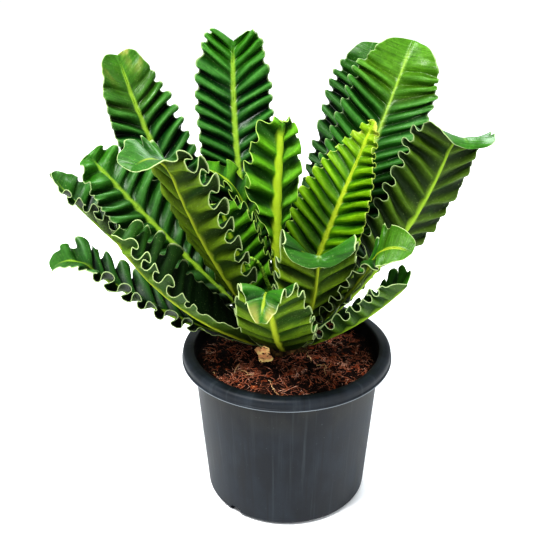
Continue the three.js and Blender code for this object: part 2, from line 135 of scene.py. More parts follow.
# Scrap of dead leaf and sprout
SCRAP_OUTLINE = (
    (-6, -9), (-2, -8), (2, -9), (6, -7), (5, -2), (7, 3),
    (5, 8), (2, 7), (-2, 9), (-6, 8), (-5, 2), (-7, -3),
)
SCRAP_PLACE = Vector((-0.027, -0.009, 0.1825))
SCRAP_TILT = (42, -14, 25)
SCRAP_SPREAD = 1.35
SCRAP_THICKNESS = 0.0004
SCRAP_CURL = 0.0007
SCRAP_RAGGEDNESS = 0.0002
SCRAP_EDGE_STEPS = 7
SCRAP_RINGS = (0.1, 0.3, 0.5, 0.68, 0.84, 0.95)
SPROUT_PLACE = Vector((-0.067, 0.038, 0.175))
SPROUT_HEIGHT = 0.011
SPROUT_LEAF = 0.0055
SPROUT_LEAF_TURNS = (20, 115, 200, 295)
SPROUT_LEAF_RISE = 24
SPROUT_STEM = 0.0009
SPROUT_DEPTH = 0.005
SPROUT_CUP = (0.15, 0.35)

# Rolled young frond
CROZIER_STEM_RADIUS = 0.0026
CROZIER_TIP_RADIUS = 0.0016
CROZIER_LUMPS = 260
CROZIER_LUMP_HEIGHT = 0.12

# Blade build-up, shared by every frond
BLADE_THICKNESS = 0.0011
VEIN_SLANT = 0.55
STALK_END = 0.045
STALK_HALF_WIDTH = 0.003
STALK_RELIEF = 0.0021
PLEAT_START = 0.1
PLEAT_END = 0.92
PLEAT_FADE_IN = (0.08, 0.25)
PLEAT_FADE_OUT = 0.13
CALM_STRENGTH = 0.2
CALM_FADE = 0.14
PLEAT_GROWTH = 0.55
PLEAT_ROUNDNESS = 0.55
PLEAT_DRIFT = 7.5
PLEAT_PATCHINESS = 2.6
PLEAT_NOISE = (24, 14)
LOOP_PATCHINESS = 2
RIDGE_REACH = 0.05
FRILL_SHARE = 0.3
ROUGH_NOISE = 34
EDGE_ROUGHNESS = 0.1
TIP_ROUGHNESS = 0.35
SPREAD_END = 0.2
TWIST_SPAN = (0.05, 0.6)
RIB_HALF_WIDTH = 0.0032
RIB_TIP_SHARE = 0.42
RIB_KEEL = 0.0024
RIB_REACH = (0.75, 1.2)
RIB_FADE = (0.93, 0.985)
RIB_CLEARANCE = (0.5, 1.8)
RIB_RIDGE = 0.0015
BASE_SHARE = 0.16
TIP_SHARE = 0.1
TIP_ROUNDING = 0.018
TIP_SPAN = (0.7, 0.95)
FLAP_RADIUS = 0.008
FLAP_NOTCH = 0.012
FLAP_RIB_FADE = 0.02
PATH_STEPS = 96
PATH_OVERRUN = 36
ROW_CROWDING = 1.3
ROWS_PER_PLEAT = 16
ROWS_BESIDES = 40
COLUMNS = 30
MARGIN_ROUNDING = 0.0005
MARGIN_BAND = (0.0003, 0.0009)
WELD = 2e-6

# One entry a frond: what isn't usual about it, with lengths in millimetres and places along it as shares of
# its length. azimuth and rise aim its base, sway and end bend it sideways and upwards towards the tip, curl
# turns the tip from curl_at on, twist rolls the blade about its rib, and trough folds its halves up. The
# blade starts at bare_until, is widest between waist and taper, and closes more bluntly the smaller point is.
# lean widens one half, and stoutness thickens the rib. wave is the pleats' height and loop how far the margin
# meanders, in shares of a pleat. Both stay low up to calm_until and fade out from smooth_from on. crumple is
# how far the blade bulges unevenly, and horn how far its halves reach past the rib's end, up to last_share.
# fold bends the tip over towards its underside. What lies past flap_at turns over by flap_turn, on a line
# that rises by flap_slope to both sides. pale yellows the tip, burn dries it, and gloom darkens a blade in
# the others' shade.
OLD, MID, HALF, YOUNG = "mature_leaf", "middle_leaf", "half_grown_leaf", "young_leaf"
USUAL = dict(
    leaf=OLD, length=300, width=80, sway=0, curl=0, curl_at=0.8, curl_power=1.3, twist=0, tip_twist=0,
    fold=0, trough=14, tip_trough=0, bare_until=STALK_END, waist=0.45, taper=0.7, point=0.5, lean=0.0,
    stoutness=1.0, pleats=12, wave=6, loop=0.06, calm_until=0.0, smooth_from=0.84, crumple=4, horn=-0.6,
    last_share=1.06, flap_at=2.0, flap_slope=0, flap_turn=140, pale=0.0, burn=0.0, gloom=0.0,
)
# What the blade's tree takes of an entry, and what turns it into metres or radians
BLADE_INPUTS = {
    **dict.fromkeys(("length", "width", "wave", "crumple"), MM),
    **dict.fromkeys(("trough", "tip_trough", "flap_slope", "flap_turn"), math.radians(1)),
    **dict.fromkeys(("bare_until", "waist", "taper", "point", "lean", "stoutness", "pleats", "loop"), 1.0),
    **dict.fromkeys(("calm_until", "smooth_from", "horn", "last_share", "flap_at"), 1.0),
    **dict.fromkeys(("pale", "burn", "gloom"), 1.0),
}
FRONDS = {
    "back_left": dict(
        azimuth=140, rise=34, end=72, sway=10, length=405, width=92, pleats=17, wave=7,
        taper=0.62, twist=28, horn=0.2, stoutness=1.4, crumple=12, smooth_from=0.8, burn=0.4, pale=0.12,
    ),
    "back_middle": dict(
        azimuth=140, rise=60, end=76, sway=-56, length=360, width=92, pleats=18,
        point=0.35, horn=0.5, stoutness=1.5, crumple=10, smooth_from=0.95,
    ),
    "back_right": dict(
        azimuth=48, rise=52, end=62, sway=-4, length=392, width=110, pleats=18, wave=7, taper=0.8,
        twist=-24, horn=-0.9, stoutness=1.4, crumple=7, pale=0.25,
    ),
    "behind_right": dict(
        azimuth=65, rise=42, end=66, sway=-6, length=396, width=90, pleats=16, wave=7, gloom=0.3,
    ),
    "right": dict(
        azimuth=13, rise=35, end=80, sway=-14, length=344, width=98, taper=0.86, point=0.4, twist=72,
        curl_at=0.84, fold=140, horn=-0.9, stoutness=1.2, crumple=8,
    ),
    "left": dict(
        azimuth=176, rise=44, end=50, sway=-4, length=312, width=88, pleats=13, wave=8, twist=32,
        stoutness=1.3, crumple=9, smooth_from=0.93, gloom=0.2,
    ),
    "far_left": dict(
        azimuth=178, rise=27, end=52, sway=-6, length=333, width=66, pleats=13, wave=7,
        taper=0.82, trough=50, tip_trough=-30, loop=0.17, crumple=8, gloom=0.15,
    ),
    "low_left": dict(
        azimuth=195, rise=20, end=50, length=292, width=76, pleats=11, wave=7, curl=-100,
        curl_at=0.84, loop=0.17, calm_until=0.4, crumple=6, gloom=0.35,
    ),
    "near_left": dict(
        leaf=MID, azimuth=211, rise=26, end=64, length=275, width=80, pleats=9, wave=8, waist=0.26,
        twist=25, trough=40, loop=0.21, calm_until=0.6, crumple=8, smooth_from=0.9, gloom=0.7,
    ),
    "folded_left": dict(
        leaf=MID, azimuth=221, rise=50, end=74, sway=4, length=345, width=92, pleats=11, wave=8, curl=-120,
        curl_at=0.82, loop=0.22, crumple=6, gloom=0.12,
    ),
    "front": dict(
        leaf=MID, azimuth=262, rise=30, end=76, length=246, width=88, pleats=7, waist=0.22,
        taper=0.34, point=1.0, curl=-150, curl_at=0.72, horn=0.2, loop=0.12, crumple=5, burn=0.55,
    ),
    "front_right": dict(
        leaf=MID, azimuth=301, rise=50, end=74, sway=-34, length=194, width=88, pleats=7, wave=7, waist=0.4,
        point=0.6, horn=1.1, last_share=1.32, flap_at=0.885, flap_slope=36, flap_turn=148, loop=0.08,
        crumple=11, gloom=0.05,
    ),
    "near_right": dict(
        leaf=MID, azimuth=329, rise=47, end=66, length=216, width=66, pleats=8, tip_twist=-40,
        trough=8, tip_trough=10, curl=-90, curl_at=0.74, horn=-0.9, loop=0.1, smooth_from=0.76, pale=0.2,
    ),
    "low_right": dict(
        azimuth=324, rise=30, end=54, length=188, width=72, pleats=7, waist=0.36,
        taper=0.8, trough=26, horn=-0.4, loop=0.16, gloom=0.2,
    ),
    "hidden_right": dict(azimuth=42, rise=24, end=44, length=200, width=62, pleats=9, gloom=0.3),
    "hidden_back": dict(azimuth=82, rise=24, end=38, length=235, width=76, pleats=9, gloom=0.2),
    "hidden_left": dict(azimuth=118, rise=22, end=36, length=240, width=76, pleats=9, gloom=0.2),
    "young_right": dict(
        leaf=YOUNG, azimuth=40, rise=67, end=68, sway=-30, length=276, width=102, pleats=15,
        waist=0.34, taper=0.35, point=1.0, twist=-30, stoutness=1.4, loop=0.14, crumple=9, smooth_from=0.95,
        burn=0.5, pale=0.3,
    ),
    "young_middle": dict(
        leaf=HALF, azimuth=228, rise=80, end=98, length=270, width=70, pleats=9, wave=10, waist=0.72,
        taper=0.6, point=0.6, twist=-60, horn=0.3, bare_until=0.42, lean=0.1, stoutness=2.4, loop=0.1,
        crumple=12, smooth_from=0.95, gloom=0.25,
    ),
    "young_bent": dict(
        leaf=HALF, azimuth=166, rise=70, end=84, length=250, width=56, pleats=8, wave=4, curl=-100,
        curl_at=0.64, loop=0.16, gloom=0.25,
    ),
    "young_left": dict(
        leaf=HALF, azimuth=206, rise=62, end=76, length=202, width=64, pleats=8, wave=5, twist=-60,
        loop=0.2, crumple=6, smooth_from=0.9,
    ),
}
CROZIER = dict(
    USUAL, azimuth=258, rise=64, end=72, sway=-70, curl=-430, curl_at=0.6, curl_power=2, length=200,
)

# Each leaf's gloss, as the roughness of its upper side, and its colours in screen values. The valley colours
# are painted shade in the pleats' valleys, the crest colours painted highlights on the crests of both faces
LEAF_LOOKS = {
    OLD: dict(
        gloss=0.34, valley=(3, 18, 4), slope=(17, 58, 18), crest=(70, 122, 54), tip=(66, 124, 28),
        under=(24, 42, 6), under_crest=(76, 102, 18), rib=(162, 196, 62), margin=(166, 182, 132),
    ),
    MID: dict(
        gloss=0.38, valley=(5, 26, 3), slope=(26, 76, 14), crest=(60, 112, 30), tip=(62, 112, 32),
        under=(38, 60, 4), under_crest=(104, 128, 20), rib=(186, 198, 58), margin=(182, 196, 142),
    ),
    HALF: dict(
        gloss=0.42, valley=(10, 44, 3), slope=(38, 92, 8), crest=(96, 148, 28), tip=(92, 150, 28),
        under=(20, 62, 4), under_crest=(90, 142, 22), rib=(190, 212, 56), margin=(160, 184, 96),
    ),
    YOUNG: dict(
        gloss=0.44, valley=(24, 62, 4), slope=(68, 114, 8), crest=(116, 156, 18), tip=(150, 178, 24),
        under=(62, 98, 8), under_crest=(120, 150, 22), rib=(198, 212, 60), margin=(180, 196, 96),
    ),
}

# Each light: its place, what it is aimed at, size, power and colour
LIGHTS = {
    "key": ((-0.7, -0.7, 2.0), (0, 0, 0.3), 0.5, 42, (1, 1, 1)),
    "fill": ((1.5, -1.3, 1.1), (0, 0, 0.25), 1.0, 8, (1, 1, 1)),
    "back": ((0.4, 1.4, 1.8), (0, 0, 0.4), 0.9, 24, (0.92, 0.97, 1.0)),
}
SKY = (0.93, 0.97, 1.0, 1.0)
SKY_STRENGTH = 0.8
PAPER_RADIUS = 18
PAPER_DROP = 0.0005


# Fields: sockets of a node tree, worked on with plain arithmetic


def live(sockets, name):
    """The socket of that name, or at that place, which the node's settings leave in use."""
    if isinstance(name, int):
        return sockets[name]
    return next(s for s in sockets if s.name == name and s.enabled)


class Field:
    """A number or vector that flows through a node tree."""

    def __init__(self, tree, socket):
        self.tree = tree
        self.socket = socket

    def maths(self, operation, *others, clamp=False):
        node = self.tree.node("ShaderNodeMath", operation=operation, use_clamp=clamp)
        for place, value in enumerate((self, *others)):
            self.tree.feed(node.inputs[place], value)
        return Field(self.tree, node.outputs[0])

    def arrows(self, operation, other):
        node = self.tree.node("ShaderNodeVectorMath", operation=operation)
        self.tree.feed(node.inputs[0], self)
        self.tree.feed(live(node.inputs, "Scale") if operation == "SCALE" else node.inputs[1], other)
        return Field(self.tree, node.outputs[0])

    def is_arrow(self):
        return self.socket.type == "VECTOR"

    def __add__(self, other):
        return self.arrows("ADD", other) if self.is_arrow() else self.maths("ADD", other)

    def __sub__(self, other):
        return self.arrows("SUBTRACT", other) if self.is_arrow() else self.maths("SUBTRACT", other)

    def __mul__(self, other):
        return self.arrows("SCALE", other) if self.is_arrow() else self.maths("MULTIPLY", other)

    def __truediv__(self, other):
        return self.maths("DIVIDE", other)

    def __pow__(self, other):
        return self.maths("POWER", other)

    def __radd__(self, other):
        return self + other

    def __rmul__(self, other):
        return self * other

    def __rsub__(self, other):
        return self * -1 + other

    def __rtruediv__(self, other):
        return self ** -1 * other

    def positive(self):
        return self.maths("MAXIMUM", 0.0)

    def clamped(self):
        return self.maths("MULTIPLY", 1, clamp=True)

    def smooth(self, low, high):
        """0 at or below low, 1 at or above high, and an S curve between."""
        curve = dict(interpolation_type="SMOOTHSTEP")
        return self.tree.made("ShaderNodeMapRange", 0, curve, Value=self, From_Min=low, From_Max=high)

    def part(self, axis):
        return self.tree.made("ShaderNodeSeparateXYZ", axis, Vector=self)

    def parts(self):
        return [self.part(axis) for axis in range(3)]

    def cross(self, other):
        return self.arrows("CROSS_PRODUCT", other)


class Tree:
    """A node tree being built."""

    def __init__(self, group):
        self.group = group

    def node(self, kind, **settings):
        node = self.group.nodes.new(kind)
        for name, value in settings.items():
            setattr(node, name, value)
        return node

    def feed(self, socket, value):
        if isinstance(value, Field):
            self.group.links.new(value.socket, socket)
        else:
            socket.default_value = value

    def fed(self, kind, settings=(), **inputs):
        """A new node. Its inputs are named with _ for a space."""
        node = self.node(kind, **dict(settings))
        for name, value in inputs.items():
            self.feed(live(node.inputs, name.replace("_", " ")), value)
        return node

    def out(self, node, name):
        return Field(self, live(node.outputs, name))

    def made(self, kind, output=0, settings=(), **inputs):
        return self.out(self.fed(kind, settings, **inputs), output)

    def arrow(self, x, y, z):
        return self.made("ShaderNodeCombineXYZ", X=x, Y=y, Z=z)

    def noise(self, place, scale, detail=2.0):
        return self.made("ShaderNodeTexNoise", Vector=place, Scale=scale, Detail=detail)


class Shaper(Tree):
    """A Geometry Nodes tree with named inputs."""

    KINDS = {float: "NodeSocketFloat", int: "NodeSocketInt", type(None): "NodeSocketMaterial"}

    def __init__(self, name):
        super().__init__(bpy.data.node_groups.new(name, "GeometryNodeTree"))
        for way in ("INPUT", "OUTPUT"):
            self.group.interface.new_socket("Geometry", in_out=way, socket_type="NodeSocketGeometry")
        self.entry = self.node("NodeGroupInput")
        self.exit = self.node("NodeGroupOutput")
        self.identifiers = {}

    def given(self, **values):
        """Named inputs of the tree, each with its usual value, or with None where it is a finish."""
        fields = []
        for key, value in values.items():
            name = key.replace("_", " ").capitalize()
            kind = self.KINDS[type(value)]
            socket = self.group.interface.new_socket(name, in_out="INPUT", socket_type=kind)
            if value is not None:
                socket.default_value = value
            self.identifiers[key] = socket.identifier
            fields.append(Field(self, self.entry.outputs[name]))
        return fields

    def source(self):
        return Field(self, self.entry.outputs["Geometry"])

    def here(self):
        return self.made("GeometryNodeInputPosition")

    def facing(self):
        return self.made("GeometryNodeInputNormal")

    def moved(self, geometry, offset):
        return self.made("GeometryNodeSetPosition", Geometry=geometry, Offset=offset)

    def real(self, geometry):
        return self.made("GeometryNodeRealizeInstances", Geometry=geometry)

    def copies(self, points, thing, turn, scale):
        """A real copy of the thing at each point."""
        inputs = dict(Points=points, Instance=thing, Rotation=turn, Scale=scale)
        return self.real(self.made("GeometryNodeInstanceOnPoints", **inputs))

    def stored(self, geometry, name, value, kind="FLOAT", domain="POINT"):
        inputs = dict(Geometry=geometry, Name=name, Value=value)
        settings = dict(data_type=kind, domain=domain)
        return self.made("GeometryNodeStoreNamedAttribute", 0, settings, **inputs)

    def named(self, name, kind="FLOAT"):
        return self.made("GeometryNodeInputNamedAttribute", 0, dict(data_type=kind), Name=name)

    def random(self, kind, low, high, seed):
        span = dict(Min=low, Max=high, Seed=seed)
        return self.made("FunctionNodeRandomValue", "Value", dict(data_type=kind), **span)

    def wander(self, place, scale):
        """A smooth random arrow, each part between about -0.5 and 0.5."""
        shifts = ((0, 0, 0), (31.4, 7.2, 11.9), (5.8, 43.1, 23.6))
        return self.arrow(*(self.noise(place * scale + shift, 1.0, 1.0) - 0.5 for shift in shifts))

    def curve(self, rib):
        return self.made("GeometryNodeMeshToCurve", Mesh=rib)

    def resampled(self, curve, count):
        return self.made("GeometryNodeResampleCurve", Curve=curve, Count=count)

    def tube(self, curve, radius, sides):
        """A closed round mesh along each curve, of that radius at each of its points."""
        ring = self.made("GeometryNodeCurvePrimitiveCircle", "Curve", Resolution=sides, Radius=1.0)
        sweep = dict(Curve=curve, Profile_Curve=ring, Scale=radius, Fill_Caps=True)
        return self.made("GeometryNodeCurveToMesh", **sweep)

    def finish(self, geometry):
        """Ends the tree: real geometry, smooth shading and the one finish that it is given."""
        finish, = self.given(finish=None)
        smooth = self.made("GeometryNodeSetShadeSmooth", Geometry=self.real(geometry))
        painted = self.made("GeometryNodeSetMaterial", Geometry=smooth, Material=finish)
        self.feed(self.exit.inputs[0], painted)
        return self


def linked(name, data):
    thing = bpy.data.objects.new(name, data)
    bpy.context.scene.collection.objects.link(thing)
    return thing


def work_in(piece, modifier):
    """Gives the piece the mesh that its modifier makes, and takes the modifier off."""
    graph = bpy.context.evaluated_depsgraph_get()
    result = bpy.data.meshes.new_from_object(
        piece.evaluated_get(graph), preserve_all_data_layers=True, depsgraph=graph
    )
    piece.modifiers.remove(modifier)
    piece.data = result


def shaped(name, mesh, shaper, **inputs):
    """A plain mesh object: what the tree makes of mesh with those inputs."""
    piece = linked(name, mesh)
    modifier = piece.modifiers.new("shape", "NODES")
    modifier.node_group = shaper.group
    for key, value in inputs.items():
        modifier[shaper.identifiers[key]] = value
    work_in(piece, modifier)
    piece.data.name = name
    return piece


def settled(piece, slot, *nodes):
    """Attaches a finished piece to the root body, and hides the solids that it stands for. Its slot is not
    used.
    """
    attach(piece, "root")
    if nodes:
        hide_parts(*nodes)


def plain_mesh(name, points, faces):
    mesh = bpy.data.meshes.new(name)
    mesh.from_pydata([tuple(p) for p in points], [], [tuple(f) for f in faces])
    mesh.validate()
    mesh.shade_smooth()
    return mesh


def ringed_mesh(name, first, rings, last):
    """A closed body through rings of points, each of the same count, from one middle point to the other."""
    sides = len(rings[0])
    points = [first, *(point for ring in rings for point in ring), last]
    end = len(points) - 1
    faces = []
    for k in range(sides):
        n = (k + 1) % sides
        faces.append((0, 1 + n, 1 + k))
        faces.append((end, end - sides + k, end - sides + n))
        for i in range(1, 1 + (len(rings) - 1) * sides, sides):
            faces.append((i + k, i + n, i + sides + n, i + sides + k))
    return plain_mesh(name, points, faces)


def turned_mesh(name, profile, segments, middle=(0, 0)):
    """A closed body turned about a vertical axis, whose profile starts and ends on that axis."""
    x, y = middle
    turns = np.linspace(0, 2 * math.pi, segments, endpoint=False)
    rings = [[(x + r * math.cos(a), y + r * math.sin(a), z) for a in turns] for r, z in profile[1:-1]]
    return ringed_mesh(name, (x, y, profile[0][1]), rings, (x, y, profile[-1][1]))


def placed(name, mesh, finish):
    mesh.materials.clear()
    mesh.materials.append(finish)
    return linked(name, mesh)


def poured(name, form):
    """The mesh of a form put together from parts."""
    mesh = bpy.data.meshes.new(name)
    form.to_mesh(mesh)
    form.free()
    return mesh


def rotation(degrees, axis, size=4):
    return Matrix.Rotation(math.radians(degrees), size, axis)


# Finishes


def colour(red, green, blue):
    """A colour given in screen values from 0 to 255, as the shader wants it."""
    linear = (((v / 255 + 0.055) / 1.055) ** 2.4 if v > 10 else v / 255 / 12.92 for v in (red, green, blue))
    return (*linear, 1.0)


class Finish(Tree):
    """A material being built on its Principled shader."""

    def __init__(self, name, **settings):
        self.material = bpy.data.materials.new(name)
        self.material.use_nodes = True
        super().__init__(self.material.node_tree)
        self.shader = self.group.nodes["Principled BSDF"]
        for socket, value in settings.items():
            self.shader.inputs[socket.replace("_", " ")].default_value = value

    def attribute(self, name):
        return self.made("ShaderNodeAttribute", "Fac", dict(attribute_name=name))

    def place(self, kind="Object"):
        return self.made("ShaderNodeTexCoord", kind)

    def mix(self, share, first, second, blend="MIX"):
        settings = dict(data_type="RGBA", blend_type=blend, clamp_factor=True)
        return self.made("ShaderNodeMix", "Result", settings, Factor=share, A=first, B=second)

    def bump(self, height, strength, distance):
        relief = self.made("ShaderNodeBump", Strength=strength, Distance=distance, Height=height)
        self.feed(self.shader.inputs["Normal"], relief)

    def paint(self, base, roughness=None):
        self.feed(self.shader.inputs["Base Color"], base)
        if roughness is not None:
            self.feed(self.shader.inputs["Roughness"], roughness)


def leaf_finish(name, gloss, **colours):
    """A pleated blade: painted shade in its valleys and towards its base, painted highlights on its crests,
    with pale rib and margin.
    """
    hue = SimpleNamespace(**{part: colour(*screen) for part, screen in colours.items()})
    leaf = Finish(name, Specular_IOR_Level=0.27)
    uv = leaf.place("UV")
    across, along = uv.part(0), uv.part(1)
    names = ("tone", "ridge", "under", "share", "gloom", "pale", "rib", "edge", "burn")
    tone, ridge, underside, share, gloom, pale, rib, edge, burn = (leaf.attribute(name) for name in names)
    shade = gloom * (1 - underside)
    streaks = leaf.noise(leaf.arrow(across * 40, along * 620, tone * 9), 1.0, 4.0)
    patches = leaf.noise(leaf.arrow(across * 45, along * 45, tone * 7), 1.0, 4.0)
    mottle = leaf.noise(leaf.arrow(across * 260, along * 260, tone * 5), 1.0, 3.0)
    specks = leaf.noise(leaf.place(), 620.0, 1.0)

    # Painted shade in the pleats' valleys and painted highlights on their crests, on the upper face
    top = leaf.mix(ridge.smooth(-0.85, 0.1), hue.valley, hue.slope)
    top = leaf.mix(ridge.smooth(0.05, 0.95) * (0.4 + patches * 1.1), top, hue.crest)
    top = leaf.mix(share.smooth(0.8, 1.0) * (0.3 + patches * 0.7), top, hue.tip)
    # On the underside too, painted highlights on the crests
    bottom = leaf.mix((ridge * -1).smooth(-0.8, 0.9), hue.under, hue.under_crest)
    bottom = leaf.mix(patches.smooth(0.5, 0.75) * 0.5, bottom, hue.slope)
    blade = leaf.mix(underside, top, bottom)
    blade = leaf.mix(tone.smooth(0.5, 1.0) * 0.25, blade, hue.tip)
    blade = leaf.mix(pale * (0.4 + patches), blade, colour(128, 168, 34))
    # Painted shade: darker towards the blade's base inside the rosette, and where gloom puts it in the
    # others' shade. The vein streaks and mottle multiplied in with it are the leaf's own.
    depth = (0.46 + 0.54 * share.smooth(0.1, 0.46)) * (1 - shade)
    veins_and_painted_shade = leaf.arrow(*[(0.15 + streaks * 1.1 + mottle * 0.6) * depth] * 3)
    blade = leaf.mix(1.0, blade, veins_and_painted_shade, blend="MULTIPLY")
    blade = leaf.mix(rib * (0.95 - share * 0.45), blade, hue.rib)
    blade = leaf.mix(edge * 0.85, blade, hue.margin)
    blade = leaf.mix(burn * patches.smooth(0.42, 0.62), blade, colour(200, 176, 104))
    blade = leaf.mix(specks.smooth(0.68, 0.74) * 0.2, blade, colour(190, 204, 140))
    rough = gloss + underside * 0.3 + shade * 0.5 + (streaks - 0.5) * 0.25 + rib * 0.1
    leaf.paint(blade, rough)
    leaf.bump(streaks * 0.7 + mottle * 0.5, 0.5, 0.0012)
    return leaf.material


def pot_finish():
    """Scuffed charcoal plastic, stained below its rim, with painted shadow on the wall under the rim and a
    painted highlight along the skirt's hem.
    """
    pot = Finish("charcoal_plastic", Specular_IOR_Level=0.4)
    place = pot.place()
    x, y, z = place.parts()
    turn = y.maths("ARCTAN2", x)
    reach = (x * x + y * y).maths("SQRT")
    streaks = pot.noise(pot.arrow(turn * 22, z * 7, 0.3), 1.0, 4.0)
    clouds = pot.noise(pot.arrow(turn * 3.2, z * 16, 2.0), 1.0, 5.0)
    grain = pot.noise(place, 1600.0, 2.0)
    scuffs = pot.noise(pot.arrow(turn * 60, z * 260, 5.0), 1.0, 2.0)
    stain = z.smooth(*STAIN_START) * (1 - z.smooth(*STAIN_END)) * clouds.smooth(0.3, 0.6)
    # Painted shadow on the wall just under the rim, which the rim shades
    rim_shadow = z.smooth(RIM_SHADOW_START, HEM_FOOT - 0.001) * (1 - reach.smooth(*RIM_SHADOW_REACH))
    # Painted highlight: a thin light line along the lower edge of the rim's skirt
    hem_highlight = z.smooth(HEM_FOOT - 0.0006, HEM_FOOT) * (1 - z.smooth(HEM_FOOT + 0.0007, HEM_FOOT + 0.0016))
    hem_highlight = hem_highlight * reach.smooth(RIM_RADIUS - 0.004, RIM_RADIUS - 0.002) * (0.35 + clouds)
    base = pot.mix(clouds.smooth(0.35, 0.7), colour(10, 17, 25), colour(30, 37, 45))
    base = pot.mix(streaks.smooth(0.54, 0.8) * 0.4, base, colour(66, 72, 76))
    base = pot.mix(streaks.smooth(0.46, 0.3) * 0.5, base, colour(11, 14, 18))
    base = pot.mix(stain * 0.5, base, colour(48, 44, 32))
    base = pot.mix(scuffs.smooth(0.7, 0.78) * 0.35, base, colour(104, 110, 112))
    # Painted shadow under the rim
    base = pot.mix(rim_shadow * (0.4 + clouds * 0.6), base, colour(7, 9, 11))
    # Painted highlight along the skirt's hem
    base = pot.mix(hem_highlight, base, colour(126, 133, 138))
    pot.paint(base, 0.38 + clouds * 0.22 + streaks * 0.1)
    pot.bump(grain * 0.5 + streaks * 0.5, 0.12, 0.0008)
    return pot.material


def coir_finish(name, scale, dark, mid, bright):
    coir = Finish(name, Roughness=0.92, Specular_IOR_Level=0.2)
    place = coir.place()
    fine = coir.noise(place, scale, 3.0)
    wide = coir.noise(place, scale / 7, 2.0)
    base = coir.mix(fine.smooth(0.32, 0.56), colour(*dark), colour(*mid))
    base = coir.mix(wide.smooth(0.5, 0.68) * fine.smooth(0.4, 0.7), base, colour(*bright))
    coir.paint(base)
    coir.bump(fine, 0.6, 0.0012)
    return coir.material


def mottled_finish(name, scale, span, dark, light, relief, **settings):
    """Blotched in two colours, and raised where it is light."""
    mottled = Finish(name, **settings)
    blotch = mottled.noise(mottled.place(), scale, 3.0)
    mottled.paint(mottled.mix(blotch.smooth(*span), colour(*dark), colour(*light)))
    mottled.bump(blotch, *relief)
    return mottled.material


def root_finish():
    looks = dict(span=(0.38, 0.62), dark=(38, 26, 14), light=(92, 72, 38), relief=(0.8, 0.002))
    return mottled_finish("rootstock_scale", 260.0, **looks, Roughness=0.85, Specular_IOR_Level=0.25)


def fresh_finish():
    """Tender green of the rolled frond and the sprout."""
    looks = dict(span=(0.4, 0.64), dark=(96, 148, 32), light=(182, 214, 92), relief=(0.5, 0.0012))
    return mottled_finish("tender_green", 320.0, **looks, Roughness=0.5)


def dead_finish():
    """Pale, papery and blotched, with dark slits and fine veins."""
    dead = Finish("dead_leaf_paper", Roughness=0.85, Specular_IOR_Level=0.2)
    place = dead.place()
    x, y, z = place.parts()
    blotch = dead.noise(place, 150.0, 3.0)
    slits = dead.noise(dead.arrow(x * 200, y * 420, z * 420), 1.0, 2.0)
    veins = dead.noise(dead.arrow(x * 1300, y * 160, z * 160), 1.0, 2.0)
    base = dead.mix(blotch.smooth(0.4, 0.62), colour(218, 160, 116), colour(246, 216, 150))
    base = dead.mix(slits.smooth(0.6, 0.66), base, colour(70, 26, 16))
    base = dead.mix(veins.smooth(0.55, 0.75) * 0.35, base, colour(140, 80, 44))
    dead.paint(base)
    dead.bump(veins, 0.5, 0.001)
    return dead.material


# Fronds


def smooth_step(x, low, high):
    t = np.clip((x - low) / (high - low), 0, 1)
    return t * t * (3 - 2 * t)


def rib_aim(frond, share):
    """Unit vectors along, beside and above the rib at a share of its length."""
    curl_at = frond["curl_at"]
    late = max((share - curl_at) / (1 - curl_at), 0) ** frond["curl_power"]
    rise = frond["rise"]
    lift = math.radians(rise + (frond["end"] - rise) * min(max(share, 0), 1) + frond["curl"] * late)
    heading = math.radians(frond["azimuth"] + frond["sway"] * share)
    roll = frond["twist"] * smooth_step(share, *TWIST_SPAN)
    roll = math.radians(roll + frond["tip_twist"] * smooth_step(share, *TIP_SPAN))
    flat = math.cos(lift)
    along = Vector((flat * math.cos(heading), flat * math.sin(heading), math.sin(lift)))
    level = Vector((math.sin(heading), -math.cos(heading), 0))
    side = level * math.cos(roll) + level.cross(along) * math.sin(roll)
    fold = math.radians(frond["fold"]) * min(late, 1)
    along = along * math.cos(fold) - side.cross(along) * math.sin(fold)
    return along, side, side.cross(along)


def rib_mesh(name, frond, overrun=PATH_OVERRUN):
    """Evenly spaced points with side vectors, from the socket to a few steps past the tip."""
    step = frond["length"] * MM / PATH_STEPS
    points = [CROWN + rib_aim(frond, 0)[0] * (CROWN_RADIUS - SOCKET_DEPTH)]
    sides = [rib_aim(frond, 0)[1]]
    for i in range(PATH_STEPS + overrun):
        points.append(points[-1] + rib_aim(frond, (i + 0.5) / PATH_STEPS)[0] * step)
        sides.append(rib_aim(frond, (i + 1) / PATH_STEPS)[1])
    mesh = bpy.data.meshes.new(name)
    mesh.from_pydata(points, [(i, i + 1) for i in range(len(points) - 1)], [])
    attribute = mesh.attributes.new("side", "FLOAT_VECTOR", "POINT")
    attribute.data.foreach_set("vector", np.array(sides, np.float32).ravel())
    return mesh


